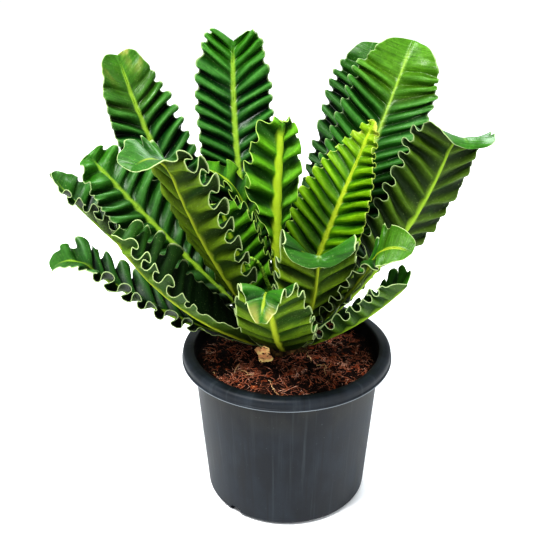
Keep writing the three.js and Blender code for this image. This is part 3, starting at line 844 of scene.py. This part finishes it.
def pleated_blade():
    """A tree that turns a rib with side vectors into a closed, pleated blade."""
    tree = Shaper("pleated_blade")
    usual = {key: float(USUAL[key] * unit) for key, unit in BLADE_INPUTS.items()}
    leaf = SimpleNamespace(**dict(zip(usual, tree.given(**usual))))
    tone, seed, rows = tree.given(tone=0.0, seed=0.0, rows=240)
    length = leaf.length

    # A flat sheet is wrapped round the blade: up the upper face from margin to margin, and back below.
    size = dict(Size_X=1.0, Size_Y=1.0, Vertices_X=2 * COLUMNS + 1, Vertices_Y=rows)
    sheet = tree.made("GeometryNodeMeshGrid", "Mesh", **size)
    flat = tree.here()
    turn = (flat.part(0) + 0.5) * 2
    run = flat.part(1) + 0.5
    under = turn.maths("GREATER_THAN", 1.0001)
    place = (turn * 2 - under * 2 - 1) * (1 - under * 2)
    hand = place.maths("SIGN")
    across = place.maths("ABSOLUTE").smooth(0.0, 1.0)
    share = 1 - (1 - run) ** ROW_CROWDING
    spread = share.smooth(STALK_END, SPREAD_END)
    tipward = share.smooth(*TIP_SPAN)

    # Half width along the rib
    grown = BASE_SHARE + (1 - BASE_SHARE) * share.smooth(leaf.bare_until, leaf.waist)
    late = ((share - leaf.taper) / (1 - leaf.taper)).clamped()
    closing = TIP_SHARE + (1 - TIP_SHARE) * (1 - late * late).positive() ** leaf.point
    rib = leaf.stoutness * RIB_HALF_WIDTH * (1 - (1 - RIB_TIP_SHARE) * share)
    blade = (leaf.width * 0.5 * grown * closing).maths("MAXIMUM", rib + 0.001)
    half = STALK_HALF_WIDTH + (blade - STALK_HALF_WIDTH) * share.smooth(STALK_END, 2 * STALK_END)
    rounding = 1 - ((share - 1 + TIP_ROUNDING) / TIP_ROUNDING).clamped() ** 2
    rounding = rounding.positive() ** 0.5
    half = half * rounding
    from_margin = half * (1 - across)
    from_rib = across * half

    # Pleats: rounded crests and narrow valleys on both halves, half a turn apart
    phase = (share - PLEAT_START) * (leaf.pleats * (2 * math.pi / (PLEAT_END - PLEAT_START)))
    station = tree.arrow(share * length * PLEAT_NOISE[0], hand * (3 + across * half * PLEAT_NOISE[1]), seed)
    uneven = tree.noise(station, 1.0, 1.0) - 0.5
    patchy = tree.noise(station + tree.arrow(5.2, 1.7, 8.3), 0.8, 1.0) - 0.5
    phase = phase + uneven * PLEAT_DRIFT
    swing = phase.maths("COSINE") * hand
    cusp = (swing * 0.5 + 0.5).positive() ** 0.5 * 2 - 1
    ridge = swing * (1 - PLEAT_ROUNDNESS) + cusp * PLEAT_ROUNDNESS
    fading = share.smooth(leaf.smooth_from, leaf.smooth_from + PLEAT_FADE_OUT)
    calm = share.smooth(leaf.calm_until - CALM_FADE, leaf.calm_until + 0.001)
    strength = share.smooth(*PLEAT_FADE_IN) * (1 - fading) * (CALM_STRENGTH + (1 - CALM_STRENGTH) * calm)
    depth = leaf.wave * strength * (1 + patchy * PLEAT_PATCHINESS)
    frill = (phase * 2 + patchy * 9).maths("SINE") * strength * across ** 5
    beyond_rib = (half * across / rib).smooth(*RIB_CLEARANCE)
    lift = depth * across ** PLEAT_GROWTH * ridge * beyond_rib + frill * leaf.wave * FRILL_SHARE
    pitch = (PLEAT_END - PLEAT_START) / leaf.pleats
    meander = (phase * 2).maths("SINE") * leaf.loop * pitch * strength * across ** 3
    meander = meander * (1 + patchy * LOOP_PATCHINESS)
    rough_place = tree.arrow(share * length * ROUGH_NOISE, hand * across * half * ROUGH_NOISE, seed + 20)
    rough_edge = (tree.noise(rough_place, 1.0, 2.0) - 0.5) * across
    rough_edge = rough_edge * (EDGE_ROUGHNESS + TIP_ROUGHNESS * tipward)
    bulging = (tree.noise(rough_place + tree.arrow(9.1, 4.4, 2.7), 0.7, 2.0) - 0.5) * leaf.crumple
    bulging = bulging * spread * (0.5 + 2 * tipward) * (0.25 + across * 0.75)
    aside = half * (1 + leaf.lean * hand) * (1 + ridge * across * strength * RIDGE_REACH + rough_edge)
    aside = aside * across
    slant = VEIN_SLANT * spread * (1 + leaf.horn * tipward)
    reached = (share + half * across * slant / length + meander).maths("MINIMUM", leaf.last_share)

    # What lies past a line that rises to both sides of the rib turns over toward the underside
    bend = (aside * aside + FLAP_NOTCH ** 2) ** 0.5
    steepness = leaf.flap_slope.maths("TANGENT")
    slope_cos = 1 / (1 + (steepness * aside / bend) ** 2) ** 0.5
    slope_sin = steepness * aside / bend * slope_cos
    fold_line = leaf.flap_at * length + steepness * (bend - FLAP_NOTCH)
    past = ((reached * length - fold_line) * slope_cos).positive()
    rolled = (past / FLAP_RADIUS).maths("MINIMUM", leaf.flap_turn)
    hanging = (past - leaf.flap_turn * FLAP_RADIUS).positive()
    shift = rolled.maths("SINE") * FLAP_RADIUS + hanging * leaf.flap_turn.maths("COSINE") - past
    drop = (1 - rolled.maths("COSINE")) * FLAP_RADIUS + hanging * leaf.flap_turn.maths("SINE")
    reached = reached + shift * slope_cos / length
    aside = aside - shift * slope_sin

    # The middle layer of the blade, beside the spot of the rib that each point's vein leaves
    settings = dict(data_type="FLOAT_VECTOR", mode="FACTOR", use_all_curves=True)
    reading = dict(
        Curves=tree.curve(tree.source()),
        Value=tree.named("side", "FLOAT_VECTOR"),
        Factor=reached * (PATH_STEPS / (PATH_STEPS + PATH_OVERRUN)),
    )
    ribbon = tree.fed("GeometryNodeSampleCurve", settings, **reading)
    spot, side, along = (tree.out(ribbon, name) for name in ("Position", "Value", "Tangent"))
    fold = leaf.trough * spread + leaf.tip_trough * tipward
    middle = spot + side * (aside * hand * fold.maths("COSINE"))
    middle = middle + side.cross(along) * (half * across * fold.maths("SINE") + lift + bulging - drop)

    # Thickness of each face: the rounded margin, the round stalk, and the rib
    bevel = 1 - (1 - from_margin / MARGIN_ROUNDING).clamped() ** 2
    skin = bevel.positive() ** 0.5 * (BLADE_THICKNESS / 2)
    stalk = 1 - share.smooth(STALK_END, 3 * STALK_END)
    round_stalk = stalk * STALK_RELIEF * (1 - across * across).positive() ** 0.5
    bulge = (1 - (from_rib / rib) ** 2).positive() ** 0.6
    height = (RIB_RIDGE + under * (RIB_KEEL - RIB_RIDGE)) * (rib / RIB_HALF_WIDTH)
    raised = round_stalk.maths("MAXIMUM", bulge * height * (1 - stalk))
    swell = skin + raised * (share / 0.004).clamped() * rounding

    # What the finish and the last step read from the blade
    off_tip = 1 - share.smooth(*RIB_FADE)
    off_flap = 1 - past.smooth(0, FLAP_RIB_FADE)
    facts = {
        "ridge": ridge * strength * across ** 0.3,
        "rib": (1 - (from_rib / rib).smooth(*RIB_REACH)) * off_tip * off_flap,
        "edge": 1 - from_margin.smooth(*MARGIN_BAND),
        "under": under,
        "share": share,
        "swell": swell,
        "tone": tone,
        "pale": leaf.pale * share.smooth(0.72, 0.86),
        "gloom": leaf.gloom * (1 - 0.6 * share.smooth(0.6, 1.0)),
        "burn": leaf.burn * share.smooth(0.86, 0.99) * across.smooth(0.1, 0.8),
    }
    for name, value in facts.items():
        sheet = tree.stored(sheet, name, value)
    sheet = tree.stored(sheet, "UVMap", tree.arrow(from_rib * hand, share * length, 0.0), "FLOAT2", "CORNER")
    bent = tree.made("GeometryNodeSetPosition", Geometry=sheet, Position=middle)
    thick = tree.moved(bent, tree.facing() * tree.named("swell"))
    return tree.finish(tree.made("GeometryNodeMergeByDistance", Geometry=thick, Distance=WELD))


def make_fronds():
    blade = pleated_blade()
    finishes = {name: leaf_finish(name, **looks) for name, looks in LEAF_LOOKS.items()}
    for order, (name, own) in enumerate(FRONDS.items()):
        frond = {**USUAL, **own}
        inputs = {key: frond[key] * unit for key, unit in BLADE_INPUTS.items()}
        inputs["tone"] = (order * 0.37) % 1.0
        inputs["seed"] = 3.7 * order
        inputs["rows"] = ROWS_PER_PLEAT * frond["pleats"] + ROWS_BESIDES
        inputs["finish"] = finishes[frond["leaf"]]
        piece = shaped(f"{name}_blade", rib_mesh(name, frond), blade, **inputs)
        slot = "young_frond" if name.startswith("young") else "frond"
        settled(piece, slot, f"frond_{name}")


# Pot


def wall_outer(z):
    return BASE_RADIUS + (WALL_TOP_RADIUS - BASE_RADIUS) * z / POT_HEIGHT


def softened(corners, steps=6):
    """The outline through corners, each a radius, a height and how far from it a small curve starts."""
    outline = []
    for i, (r, z, reach) in enumerate(corners):
        corner = np.array((r, z))
        if not reach:
            outline.append(corner)
            continue
        ways = [np.array(near[:2]) - corner for near in (corners[i - 1], corners[i + 1])]
        start, stop = (corner + way * reach / np.linalg.norm(way) for way in ways)
        for t in np.linspace(0, 1, steps):
            outline.append((1 - t) ** 2 * start + 2 * t * (1 - t) * corner + t * t * stop)
    return outline


def pot_corners():
    flange = POT_HEIGHT - RIM_THICKNESS
    return [
        (0, 0, 0),
        (BASE_RADIUS - FOOT_BEVEL, 0, 0.002),
        (wall_outer(FOOT_BEVEL), FOOT_BEVEL, 0.002),
        (wall_outer(flange), flange, 0.001),
        (RIM_RADIUS - WALL, flange, 0.001),
        (RIM_RADIUS - WALL, HEM_FOOT, 0.0006),
        (RIM_RADIUS, HEM_FOOT, 0.0004),
        (RIM_RADIUS, HEM_FOOT + LIP_BEAD, 0.0005),
        (RIM_RADIUS - LIP_STEP, HEM_FOOT + LIP_BEAD + LIP_STEP, 0.0005),
        (RIM_RADIUS - LIP_STEP, POT_HEIGHT - RIM_BEVEL, 0.0025),
        (RIM_RADIUS - RIM_BEVEL - LIP_STEP, POT_HEIGHT, 0.0025),
        (WALL_TOP_RADIUS - WALL + MOUTH_BEVEL, POT_HEIGHT, 0.0009),
        (WALL_TOP_RADIUS - WALL, POT_HEIGHT - MOUTH_BEVEL, 0.0009),
        (wall_outer(FLOOR) - WALL - FLOOR_FILLET, FLOOR, 0.001),
        (0, FLOOR, 0),
    ]


def drain_cutter():
    """Blocks for the notches round the foot and drills for the holes in the floor."""
    tools = bmesh.new()
    size = Matrix.Diagonal((2 * NOTCH_DEPTH, NOTCH_WIDTH, 2 * NOTCH_HEIGHT, 1))
    out = Matrix.Translation((BASE_RADIUS, 0, 0))
    for angle in DRAIN_NOTCHES:
        bmesh.ops.create_cube(tools, size=1, matrix=rotation(angle, "Z") @ out @ size)
    bmesh.ops.bevel(tools, geom=tools.edges[:], offset=0.002, segments=3, affect="EDGES")
    radii = dict(radius1=DRAIN_HOLE_RADIUS, radius2=DRAIN_HOLE_RADIUS)
    for angle in np.linspace(0, 2 * math.pi, DRAIN_HOLES, endpoint=False):
        middle = (DRAIN_HOLE_RING * math.cos(angle), DRAIN_HOLE_RING * math.sin(angle), FLOOR / 2)
        place = Matrix.Translation(middle)
        bmesh.ops.create_cone(tools, cap_ends=True, segments=32, depth=3 * FLOOR, matrix=place, **radii)
    return poured("drain_cutter", tools)


def make_pot(finish):
    piece = placed("pot_shell", turned_mesh("pot_shell", softened(pot_corners()), POT_SEGMENTS), finish)
    cutter = placed("drain_cutter", drain_cutter(), finish)
    cut = piece.modifiers.new("drains", "BOOLEAN")
    cut.operation = "DIFFERENCE"
    cut.solver = "EXACT"
    cut.object = cutter
    work_in(piece, cut)
    bpy.data.objects.remove(cutter)
    piece.data.set_sharp_from_angle(angle=math.radians(50))
    settled(piece, "pot_plastic", "pot")


# Potting mix, with coir strewn over it


def mix_radius(z):
    low = wall_outer(FLOOR) - WALL - FLOOR_FILLET
    high = WALL_TOP_RADIUS - WALL
    return low + (high - low) * (z - FLOOR) / (POT_HEIGHT - MOUTH_BEVEL - FLOOR) - GAP


def loose_mix():
    """A tree that gives the bed's flat top its swells, clods and grains, and the rootstock's pit."""
    tree = Shaper("loose_mix")
    relief, clods, grain = tree.given(relief=MIX_RELIEF, clods=MIX_CLODS, grain=MIX_GRAIN)
    place = tree.here()
    x, y, z = place.parts()
    top = z.maths("GREATER_THAN", MIX_LEVEL - 0.001)
    swell = (x / MIX_SWELL[0] + 0.7).maths("SINE") * (y / MIX_SWELL[1] - 0.4).maths("COSINE")
    ripple = (x / MIX_RIPPLE[0] - y / MIX_RIPPLE[1]).maths("SINE") * MIX_RIPPLE_SHARE
    coarse = tree.noise(place, CLOD_NOISE, 2.0) - 0.5
    fine = tree.noise(place, GRAIN_NOISE, 3.0) - 0.5
    out = (x * x + y * y) ** 0.5
    inside = 1 - out.smooth(0.96 * mix_radius(MIX_LEVEL), mix_radius(MIX_LEVEL))
    rise = (swell + ripple) * relief + coarse * clods + fine * grain
    from_crown = ((x - CROWN.x) ** 2 + (y - CROWN.y) ** 2) ** 0.5
    pit = (1 - from_crown.smooth(CROWN_RADIUS - 0.004, CROWN_RADIUS + 0.001)) * (0.6 * CROWN_DEPTH)
    bed = tree.stored(tree.source(), "height", coarse + fine)
    return tree.finish(tree.moved(bed, tree.arrow(0.0, 0.0, top * (rise * inside - pit))))


def strewn_points(tree):
    """Points on upward faces, inside the reach and clear of the rootstock, with a turn for each."""
    density, seed, reach = tree.given(density=1000.0, seed=0, reach=0.1)
    clearance, = tree.given(clearance=CROWN_RADIUS + 0.002)
    place = tree.here()
    x, y = place.part(0), place.part(1)
    up = tree.facing().part(2).maths("GREATER_THAN", 0.1)
    near = ((x * x + y * y) ** 0.5).maths("LESS_THAN", reach)
    clear = (((x - CROWN.x) ** 2 + (y - CROWN.y) ** 2) ** 0.5).maths("GREATER_THAN", clearance)
    scatter = dict(Mesh=tree.source(), Selection=up * near * clear, Density=density, Seed=seed)
    spread = tree.fed("GeometryNodeDistributePointsOnFaces", **scatter)
    low = (-LITTER_TILT, -LITTER_TILT, -math.pi)
    tilt = tree.random("FLOAT_VECTOR", low, (LITTER_TILT, LITTER_TILT, math.pi), seed)
    frames = dict(Rotation=tree.out(spread, "Rotation"), Rotate_By=tilt)
    turn = tree.made("FunctionNodeRotateRotation", 0, dict(rotation_space="LOCAL"), **frames)
    return tree.out(spread, "Points"), turn, seed


def strewn_strands():
    """A tree that strews bent fibres over a surface."""
    tree = Shaper("strewn_strands")
    points, turn, seed = strewn_points(tree)
    shortest, longest, thickness = tree.given(shortest=0.005, longest=0.015, thickness=0.0002)
    bend, steps, sides = tree.given(bend=0.006, steps=8, sides=3)
    line = tree.made("GeometryNodeCurvePrimitiveLine", Start=(-0.5, 0, 0), End=(0.5, 0, 0))
    size = tree.random("FLOAT", shortest, longest, seed + 1)
    strands = tree.copies(points, tree.resampled(line, steps), turn, size)
    place = tree.here()
    wide, fine = (tree.wander(place, scale) for scale in STRAND_BENDS)
    strands = tree.moved(strands, wide * bend + fine * (bend * 0.25))
    along = tree.made("GeometryNodeSplineParameter", "Factor")
    body = (1 - (along * 2 - 1) ** 4).maths("MAXIMUM", 0.04)
    radius = thickness * body * (0.5 + tree.noise(place, 120.0, 0.0))
    return tree.finish(tree.tube(strands, radius, sides))


def strewn_bits():
    """A tree that strews ragged chips over a surface, half sunk in it."""
    tree = Shaper("strewn_bits")
    points, turn, seed = strewn_points(tree)
    size = tree.given(longest=0.003, width=0.003, depth=0.003)
    raggedness, = tree.given(raggedness=0.001)
    sides = dict(Size=(1, 1, 1), Vertices_X=3, Vertices_Y=3, Vertices_Z=3)
    block = tree.made("GeometryNodeMeshCube", "Mesh", **sides)
    shares = (tree.random("FLOAT", 0.35, 1.0, seed + 1 + i) for i in range(3))
    bits = tree.copies(points, block, turn, tree.arrow(*(full * share for full, share in zip(size, shares))))
    return tree.finish(tree.moved(bits, tree.wander(tree.here(), BIT_NOISE) * raggedness))


def make_mix():
    foot = FLOOR + GAP
    edge = mix_radius(MIX_LEVEL)
    radii = np.linspace(edge, 0, int(edge / MIX_RING_STEP))
    profile = [(0, foot), (mix_radius(foot), foot), *((r, MIX_LEVEL) for r in radii)]
    finish = coir_finish("potting_coir", BED_SPECKLE, (4, 2, 2), (30, 16, 12), (96, 58, 42))
    bed = shaped("mix_bed", turned_mesh("mix_bed", profile, MIX_SEGMENTS), loose_mix(), finish=finish)
    settled(bed, "coir", "potting_mix")
    for litter, tree in ((STRANDS, strewn_strands()), (BITS, strewn_bits())):
        for name, (colours, amounts) in litter.items():
            finish = coir_finish(f"{name}_finish", LITTER_SPECKLE, *colours)
            settled(shaped(name, bed.data.copy(), tree, finish=finish, **amounts), "coir")


# Rootstock


def knobbly_crown():
    """A tree that roughens the dome of the rootstock."""
    tree = Shaper("knobbly_crown")
    knobs, = tree.given(knobs=CROWN_KNOBS)
    drift = tree.facing() * ((tree.noise(tree.here(), KNOB_NOISE, 3.0) - 0.6) * knobs)
    return tree.finish(tree.moved(tree.source(), drift))


def make_rootstock():
    foot = CROWN.z - CROWN_DEPTH
    profile = [(0, foot), (CROWN_RADIUS * CROWN_FOOT_SHARE, foot)]
    profile.append((CROWN_RADIUS, CROWN.z - CROWN_DEPTH * CROWN_SHOULDER))
    for angle in np.linspace(0, math.pi / 2, CROWN_RINGS):
        profile.append((CROWN_RADIUS * math.cos(angle), CROWN.z + CROWN_RADIUS * math.sin(angle)))
    mesh = turned_mesh("crown_dome", profile, CROWN_SEGMENTS, (CROWN.x, CROWN.y))
    finish = root_finish()
    dome = shaped("crown_dome", mesh, knobbly_crown(), finish=finish)
    settled(dome, "rootstock", "rootstock")
    hairs = shaped("crown_hairs", dome.data.copy(), strewn_strands(), finish=finish, **CROWN_HAIRS)
    settled(hairs, "rootstock")


# Rolled frond, scrap of dead leaf and sprout


def rolled_tip():
    """A tree that turns a rib into a round stem with a coiled, lumpy tip."""
    tree = Shaper("rolled_tip")
    stem, tip = tree.given(stem_radius=CROZIER_STEM_RADIUS, tip_radius=CROZIER_TIP_RADIUS)
    curve = tree.resampled(tree.curve(tree.source()), 240)
    along = tree.made("GeometryNodeSplineParameter", "Factor")
    radius = stem + (tip - stem) * along * along
    lumps = 1 + (along * CROZIER_LUMPS).maths("SINE") * CROZIER_LUMP_HEIGHT * along.smooth(0.5, 0.7)
    ends = 1 - ((along * 2 - 1).maths("ABSOLUTE") * 50 - 49).clamped() ** 2
    radius = radius * lumps * ends.maths("MAXIMUM", 0.0001) ** 0.5
    return tree.finish(tree.tube(curve, radius, 20))


def make_crozier(finish):
    piece = shaped("rolled_frond", rib_mesh("rolled_frond", CROZIER, 0), rolled_tip(), finish=finish)
    settled(piece, "young_frond", "crozier")


def make_scrap(finish):
    """A flake of dead leaf with a torn outline and curled edges, lying on the mix."""
    chance = np.random.default_rng(5)
    corners = np.array(SCRAP_OUTLINE) * MM * SCRAP_SPREAD
    rim = []
    for corner, after in zip(corners, np.roll(corners, -1, axis=0)):
        for share in np.linspace(0, 1, SCRAP_EDGE_STEPS, endpoint=False):
            rim.append(corner + (after - corner) * share + chance.normal(0, SCRAP_RAGGEDNESS, 2))
    about_x, about_y, about_z = SCRAP_TILT
    turn = rotation(about_z, "Z", 3) @ rotation(about_y, "Y", 3) @ rotation(about_x, "X", 3)

    def sheet_ring(share, side):
        ring = []
        for x, y in np.array(rim) * share:
            curl = SCRAP_CURL * (math.sin(x / 0.003 + y / 0.005) * 0.4 + (y / 0.01) ** 2 * 0.9)
            ring.append(SCRAP_PLACE + turn @ Vector((x, y, curl + side * SCRAP_THICKNESS / 2)))
        return ring

    below = [sheet_ring(share, -1) for share in SCRAP_RINGS]
    above = [sheet_ring(share, 1) for share in reversed(SCRAP_RINGS)]
    rings = [*below, sheet_ring(1, 0), *above]
    mesh = ringed_mesh("dead_flake", sheet_ring(0, -1)[0], rings, sheet_ring(0, 1)[0])
    settled(placed("dead_flake", mesh, finish), "dead_leaf", "leaf_scrap")


def make_sprout(finish):
    """A seedling: a short stem with four small cupped leaves."""
    plant = bmesh.new()
    top = SPROUT_PLACE + Vector((0, 0, SPROUT_HEIGHT))
    middle = SPROUT_PLACE + Vector((0, 0, (SPROUT_HEIGHT - SPROUT_DEPTH) / 2))
    bmesh.ops.create_cone(
        plant,
        cap_ends=True,
        segments=16,
        radius1=SPROUT_STEM,
        radius2=SPROUT_STEM * 0.7,
        depth=SPROUT_HEIGHT + SPROUT_DEPTH,
        matrix=Matrix.Translation(middle),
    )
    for turn in SPROUT_LEAF_TURNS:
        aim = rotation(turn, "Z") @ rotation(-SPROUT_LEAF_RISE, "Y")
        place = Matrix.Translation(top) @ aim @ Matrix.Translation((SPROUT_LEAF - SPROUT_STEM / 2, 0, 0))
        leaf = bmesh.ops.create_uvsphere(plant, u_segments=20, v_segments=12, radius=1)["verts"]
        for vertex in leaf:
            x, y, z = vertex.co
            cup = SPROUT_CUP[0] * x * x + SPROUT_CUP[1] * y * y
            z = (z + cup * 2) * SPROUT_LEAF / 6
            vertex.co = place @ Vector((x * SPROUT_LEAF, y * SPROUT_LEAF / 2, z))
    mesh = poured("seedling", plant)
    mesh.shade_smooth()
    settled(placed("seedling", mesh, finish), "young_frond", "sprout")


# Camera, light and floor


def make_camera():
    camera = linked("camera", bpy.data.cameras.new("camera"))
    back = Vector((0, -math.cos(CAMERA_PITCH), math.sin(CAMERA_PITCH)))
    camera.location = CAMERA_AIM + back * CAMERA_DISTANCE
    camera.rotation_euler = (math.pi / 2 - CAMERA_PITCH, 0, 0)
    camera.data.lens = CAMERA_LENS
    bpy.context.scene.camera = camera


def make_light(name, place, target, size, power, tint):
    light = bpy.data.lights.new(name, "AREA")
    light.shape = "DISK"
    light.size = size
    light.energy = power
    light.color = tint
    lamp = linked(name, light)
    lamp.location = place
    lamp.rotation_euler = (Vector(target) - Vector(place)).to_track_quat("-Z", "Y").to_euler()


def make_studio():
    scene = bpy.context.scene
    scene.view_settings.view_transform = "Standard"
    scene.view_settings.look = "High Contrast"
    scene.world = bpy.data.worlds.new("studio")
    scene.world.use_nodes = True
    background = scene.world.node_tree.nodes["Background"]
    background.inputs["Color"].default_value = SKY
    background.inputs["Strength"].default_value = SKY_STRENGTH
    for name, light in LIGHTS.items():
        make_light(name, *light)
    paper = Finish("pale_floor", Roughness=0.9, Specular_IOR_Level=0.1)
    mottle = paper.noise(paper.place(), 3.0, 1.0)
    paper.paint(paper.mix(mottle, (0.93, 0.93, 0.93, 1), (0.95, 0.95, 0.95, 1)))
    turns = np.linspace(0, 2 * math.pi, 64, endpoint=False)
    ring = [(PAPER_RADIUS * math.cos(a), PAPER_RADIUS * math.sin(a), -PAPER_DROP) for a in turns]
    floor = placed("floor", plain_mesh("floor", ring, [range(len(ring))]), paper.material)


make_camera()
make_studio()
make_fronds()
make_pot(pot_finish())
make_mix()
make_rootstock()
make_crozier(fresh_finish())
make_scrap(dead_finish())
make_sprout(fresh_finish())
